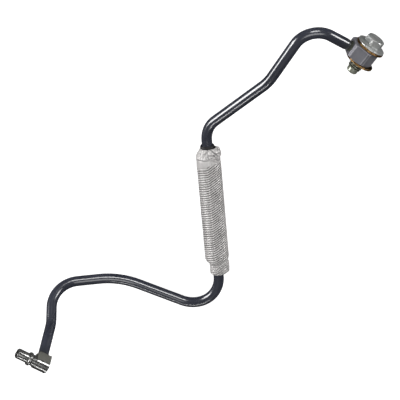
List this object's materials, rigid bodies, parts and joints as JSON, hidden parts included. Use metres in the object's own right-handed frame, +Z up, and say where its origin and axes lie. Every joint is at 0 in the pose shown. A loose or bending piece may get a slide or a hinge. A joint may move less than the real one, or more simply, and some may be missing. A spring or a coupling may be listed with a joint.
{
  "type": "turbo oil feed line",
  "caption": "Bent steel oil feed tube with a banjo union and bolt at one end, a beaded plug-in elbow at the other, and a corrugated heat sleeve between them.",
  "frame": {"origin": "the middle of the foot of the part's box, as it lies at rest on its heat sleeve and its bolt's washers", "axes": "+Z up, +X along the longest side of the box towards the banjo union"},
  "size_m": [0.3448, 0.125, 0.1046],
  "materials": {
    "painted_steel": "semi-gloss dark blue-grey coat",
    "block_steel": "dark satin steel",
    "zinc_plate": "zinc plate",
    "copper": "bright soft copper",
    "braze": "dull braze, tarnished",
    "machined_steel": "bright turned and milled steel",
    "foil": "satin foil, crimped",
    "glass_cloth": "matt woven cloth",
    "black_band": "matt black"
  },
  "bodies": {
    "root": {"feed_tube": "painted_steel", "banjo_block": "block_steel", "banjo_bolt": "zinc_plate", "upper_washer": "copper", "lower_washer": "copper", "banjo_braze": "braze", "elbow_fitting": "machined_steel", "elbow_braze": "braze", "heat_sleeve": "foil", "sleeve_liner": "glass_cloth", "sleeve_ring": "black_band"}
  },
  "joints": []
}
